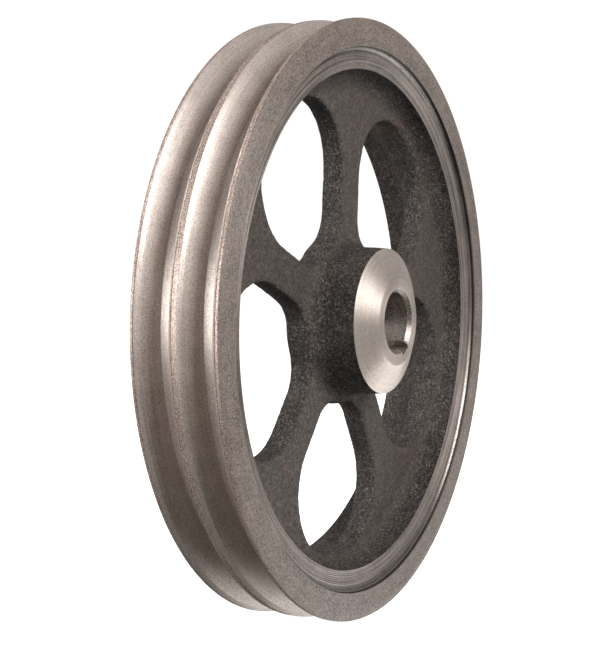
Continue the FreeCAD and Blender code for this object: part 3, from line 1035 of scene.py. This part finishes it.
def rust_traces(tree):
    """The share of rust at a point: scattered spots, and more of them near the damp corner."""
    spots = lump_noise(tree, 5.5 * MM, detail=5.0, roughness=0.7, shift=1.9)
    where = lump_noise(tree, 38 * MM, detail=1.0, shift=2.6)
    some_spots = remap(tree, spots, 0.60, 0.72)
    some_places = remap(tree, where, 0.52, 0.66, 0.0, 0.8)
    away = node(tree, "VectorMath", "DISTANCE", _0=part_place(tree), _1=damp_corner).outputs["Value"]
    damp_spots = remap(tree, spots, 0.48, 0.62, 0.0, 0.5)
    near_damp = remap(tree, away, 5 * MM, 14 * MM, 1.0, 0.0)
    return added(tree, 0.0, (some_spots, some_places), (damp_spots, near_damp))


print("rust is thickest", round(math.hypot(*damp_corner) / MM), "mm from the wheel's centre")

# %% Cast skin
painted_glint = (0.50, 0.45, 0.41)


def cast_skin(name):
    """Dark sand-cast iron: fine on the web's flat sides, coarse and full of pits on every wall, with painted
    shade in the pits and painted glints.
    """
    material, tree, shader = new_finish(name, 0.6, 0.1, 0.35)
    normal_y = node(tree, "SeparateXYZ", Vector=node(tree, "TexCoord").outputs["Normal"]).outputs[1]
    steep = remap(tree, node(tree, "Math", "ABSOLUTE", _0=normal_y).outputs[0], 0.55, 0.97, 1.0, 0.0)
    grain = lump_noise(tree, 1.0 * MM, roughness=0.7)
    fine_grain = lump_noise(tree, 0.5 * MM, detail=1.0, shift=0.43)
    lumps = lump_noise(tree, 4.2 * MM, shift=0.11)
    # the tone follows the same grain and lumps as the bump, so its dark end is partly painted shade in the
    # pits and its light end partly painted highlight on the tops
    tone = remap(tree, added(tree, 0.0, (grain, 0.8), (lumps, 0.2)), 0.36, 0.66)
    painted_pit_shade, dull, bright = (0.008, 0.0065, 0.0055), (0.048, 0.039, 0.034), (0.19, 0.16, 0.142)
    coarse = ramp(tree, tone, (0.0, painted_pit_shade), (0.5, dull), (1.0, bright))
    low, middle, high = (0.028, 0.0215, 0.018), (0.056, 0.044, 0.0375), (0.11, 0.089, 0.077)
    fine = ramp(tree, tone, (0.0, low), (0.5, middle), (1.0, high))
    colour = blended(tree, steep, fine, coarse)
    colour = blended(tree, rust_traces(tree), colour, (*rust, 1))
    # pale specks painted into the colour as glints of sand grains, the most on the walls
    cells = node(tree, "TexVoronoi", Vector=part_place(tree), Scale=1 / (2.1 * MM))
    glint_specks = remap(tree, cells.outputs["Distance"], 0.08, 0.14, 1.0, 0.0)
    glint_density = remap(tree, steep, 0.0, 1.0, 0.1, 0.45)
    painted_glint_share = node(tree, "Math", "MULTIPLY", _0=glint_specks, _1=glint_density).outputs[0]
    colour = blended(tree, painted_glint_share, colour, (*painted_glint, 1))
    plug(tree, shader, Base_Color=colour, Roughness=remap(tree, grain, 0.50, 0.66, 0.62, 0.34))
    height = node(tree, "Math", "MULTIPLY", _0=grain, _1=remap(tree, steep, 0.0, 1.0, 0.3, 1.0)).outputs[0]
    bumped(tree, shader, (lumps, 1.0, 0.6 * MM), (height, 1.0, 2.4 * MM), (fine_grain, 1.0, 0.45 * MM))
    return material


skin = cast_skin("sand_cast_skin")
print("nodes in the cast skin:", len(skin.node_tree.nodes))


# %% Blackened steel, and the tapped hole
def black_oxide(name):
    """Blackened steel of the set screw, with patches rubbed a little brighter."""
    material, tree, shader = new_finish(name, 0.4, 0.5, 0.3)
    grain = lump_noise(tree, 0.35 * MM)
    wear = lump_noise(tree, 1.6 * MM, shift=0.4)
    oxide, thin, rubbed = (0.018, 0.018, 0.019), (0.035, 0.034, 0.034), (0.10, 0.096, 0.09)
    colour = ramp(tree, wear, (0.35, oxide), (0.62, thin), (0.75, rubbed))
    plug(tree, shader, Base_Color=colour, Roughness=remap(tree, grain, 0.3, 0.7, 0.28, 0.46))
    bumped(tree, shader, (grain, 0.3, 0.02 * MM))
    return material


blackened = black_oxide("black_oxide_steel")


def tapped_iron(name):
    """The wall of the set screw's hole: thread lines at the screw's pitch, bumped, with painted shade in
    their roots and a painted highlight on their crests.
    """
    material, tree, shader = new_finish(name, 0.4, 0.7)
    outward = node(tree, "VectorMath", "DOT_PRODUCT", _0=part_place(tree), _1=tuple(key_direction))
    turns = node(tree, "Math", "MULTIPLY", _0=outward.outputs["Value"], _1=2 * math.pi / thread_pitch)
    thread = node(tree, "Math", "SINE", _0=turns.outputs[0]).outputs[0]
    # painted shade in the thread's roots and a painted highlight on its crests
    painted_root_shade, painted_crest_highlight = (0.05, 0.042, 0.037), (0.34, 0.29, 0.26)
    colour = ramp(tree, remap(tree, thread, -1.0, 1.0), (0.0, painted_root_shade), (1.0, painted_crest_highlight))
    plug(tree, shader, Base_Color=colour)
    bumped(tree, shader, (thread, 1.0, 0.25 * MM))
    return material


tapped = tapped_iron("tapped_hole")
print("finishes:", len(bpy.data.materials))

# %% [markdown]
# ## Where each finish goes
#
# The turner's cuts decide it. A face's radius and its place along the axis say which cut made it.

# %% Finishes for the rim
square_on = 0.97  # a normal that leans this much along the axis or more belongs to a faced side
close = 0.05 * MM


def finish_faces(piece, finishes, choose):
    """Give a piece its materials, and each face the one that choose(radius, y, normal) names."""
    piece.data.materials.clear()
    for material in finishes:
        piece.data.materials.append(material)
    for face in piece.data.polygons:
        radius = math.hypot(face.center.x, face.center.z)
        face.material_index = choose(radius, face.center.y, face.normal)


def land_or_wall(radius, along, normal):
    """0 for a groove's wall and 1 for the torn land, with its fine line."""
    return int(radius > outer_radius - 1.2 * tool_line)


def flange_finish(radius, along, normal):
    """The same, and 2 for the faced side."""
    if abs(normal.y) > square_on or abs(along) > land_end:
        return 2
    return land_or_wall(radius, along, normal)


def band_finish(radius, along, normal):
    """0 for a groove floor, 1 for the faced sides, 2 for the recess's slope, 3 for its wall with partly
    painted shade, and 4 for a painted shadow line on the wall's steepest faces.
    """
    if radius > floor_radius - touching and abs(normal.y) < 0.5:
        return 0
    if along > 0 or radius > recess_radius - close:
        return 1
    if radius < recess_floor_radius:
        return 2
    # the steepest faces of the recess wall get the painted shadow line
    return 4 if abs(normal.y) < 0.4 else 3


finish_faces(front_flange, [grooved, land, faced], flange_finish)
finish_faces(rear_flange, [grooved, land, faced], flange_finish)
finish_faces(centre_rib, [grooved, land], land_or_wall)
finish_faces(rim_band, [grooved, faced, ridged, recess_wall_painted_shade, painted_shadow_line], band_finish)
print("finishes on the rim band:", len(rim_band.data.materials))


# %% Finishes for the hub, the web and the screw
def in_hole(face):
    """Whether a face is the wall of the set screw's hole."""
    away = face.center - Vector((0, screw_along, 0))
    off_axis = (away - key_direction * away.dot(key_direction)).length
    return abs(off_axis - hole_radius) < 2 * close and away.dot(key_direction) > 0


def hub_finish(radius, along, normal):
    """0 for the nose and the rear face, and 1 for the bore, half its chamfer and the keyway."""
    in_keyway = radius < keyway_floor + MM and abs(normal.y) < 0.5
    return int(in_keyway or radius < bore_mouth - bore_chamfer / 2)


finish_faces(hub_sleeve, [nose, bored, tapped], hub_finish)
finish_faces(cast_web, [skin, tapped], lambda radius, along, normal: 0)
for piece in (hub_sleeve, cast_web):
    hole_faces = [face for face in piece.data.polygons if in_hole(face)]
    for face in hole_faces:
        face.material_index = len(piece.data.materials) - 1
    print(piece.name, "has", len(hole_faces), "faces in the tapped hole")
set_screw.data.materials.append(blackened)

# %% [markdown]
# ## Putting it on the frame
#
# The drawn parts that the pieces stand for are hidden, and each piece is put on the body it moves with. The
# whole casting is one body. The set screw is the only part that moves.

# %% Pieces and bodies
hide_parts("rim_band")
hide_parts("front_flange")
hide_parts("rear_flange")
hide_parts("centre_rib")
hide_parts("arm_1", "arm_2", "arm_3", "arm_4", "arm_5")
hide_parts("hub")
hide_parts("set_screw")
for piece in (rim_band, front_flange, rear_flange, centre_rib):
    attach(piece, "casting")
for piece in (cast_web, hub_sleeve):
    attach(piece, "casting")
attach(set_screw, "screw")
print("pieces: six on the casting, one on the screw")

# %% [markdown]
# ## Floor, light and camera
#
# A plain pale floor and a white surround. Both glow, but they are left out of reflections: a lit floor
# would take away the dark lower half that the grooves have.

# %% Floor and surround
def glowing(name, grey, glow):
    """A matt paint that also glows white."""
    material, tree, shader = new_finish(name, 0.9, 0.0, 0.1)
    shader.inputs["Base Color"].default_value = (grey, grey, grey, 1)
    shader.inputs["Emission Color"].default_value = (1, 1, 1, 1)
    shader.inputs["Emission Strength"].default_value = glow
    return material


def staged(name, material, build, **sizes):
    """A piece of the stage from one of bmesh's own shapes, unseen in the metal."""
    made = linked(name, drawn(name, build, **sizes))
    made.data.materials.append(material)
    made.visible_diffuse = False
    made.visible_glossy = False
    return made


floor_reach = 6.0
floor_paint = glowing("pale_floor", 0.9, 0.9)
disc = {"cap_ends": True, "segments": 96, "radius": floor_reach}
floor = staged("studio_floor", floor_paint, bmesh.ops.create_circle, **disc)
floor.location.z = -outer_radius
sky_paint = glowing("white_surround_glow", 0.0, 1.05)
globe = {"u_segments": 48, "v_segments": 24, "radius": 2 * floor_reach}
surround = staged("white_surround", sky_paint, bmesh.ops.create_uvsphere, **globe)
surround.visible_shadow = False
print("stage:", floor.name, "and", surround.name)

# %% [markdown]
# A turned surface shows its lights more than its colour, so each light here is large and soft and has one
# job. The front window, a little to the left and 35 degrees up, draws the bright fans on the nose and the
# groove walls. The left wall, slightly behind the wheel, draws the strips on the groove floors. The right
# wall, low down, shows up the recess and the lower half of the faced side. The low bounce only lifts the
# shadows in the castings, and the rear wall lights the back.

# %% Lights
scene.world = bpy.data.worlds.new("studio_air")
scene.world.use_nodes = True
air = scene.world.node_tree.nodes["Background"].inputs
air["Color"].default_value = (1, 0.985, 0.97, 1)
air["Strength"].default_value = 0.16


def soft_light(name, direction, distance, width, height, power):
    """A rectangular soft light that looks at the wheel's centre, in metres and watts."""
    data = bpy.data.lights.new(name, "AREA")
    data.shape, data.size, data.size_y, data.energy = "RECTANGLE", width, height, power
    lamp = linked(name, data)
    lamp.location = Vector(direction).normalized() * distance
    lamp.rotation_euler = (-lamp.location).to_track_quat("-Z", "Y").to_euler()
    return lamp


soft_light("front_window", (-0.22, -0.8, 0.52), 1.3, 0.8, 0.8, 30)
soft_light("left_wall", (-0.93, 0.33, 0.12), 1.5, 0.6, 0.6, 18)
low_bounce = soft_light("low_bounce", (0.45, -0.8, -0.4), 1.4, 0.9, 0.7, 8)
low_bounce.visible_glossy = False
soft_light("right_wall", (0.8, -0.3, -0.6), 1.5, 1.5, 1.1, 11)
soft_light("rear_wall", (-0.3, 0.85, 0.35), 1.5, 1.2, 0.9, 13)
print("lights:", len(bpy.data.lights))

# %% [markdown]
# The camera stands close, 63 degrees round to the left of the wheel's axis and a little above its centre.
# It looks a little to one side of the rim's front centre.

# %% Camera
camera = linked("camera", bpy.data.cameras.new("camera"))
scene.camera = camera
camera.data.lens = 86.01
camera.location = (-0.6100, -0.3115, 0.0466)
rim_face_centre = Vector((0, -0.01917, 0))
aside, above = math.radians(2.371), math.radians(0.162)  # how far off its sight line that centre is
sight = Vector((math.tan(aside), math.tan(above), -1))
aim = (rim_face_centre - camera.location).to_track_quat("-Z", "Y")
camera.rotation_mode = "QUATERNION"
camera.rotation_quaternion = aim @ sight.rotation_difference(Vector((0, 0, -1)))
scene.view_settings.view_transform = "Standard"
print(f"camera {camera.location.length:.2f} m from the wheel's centre")
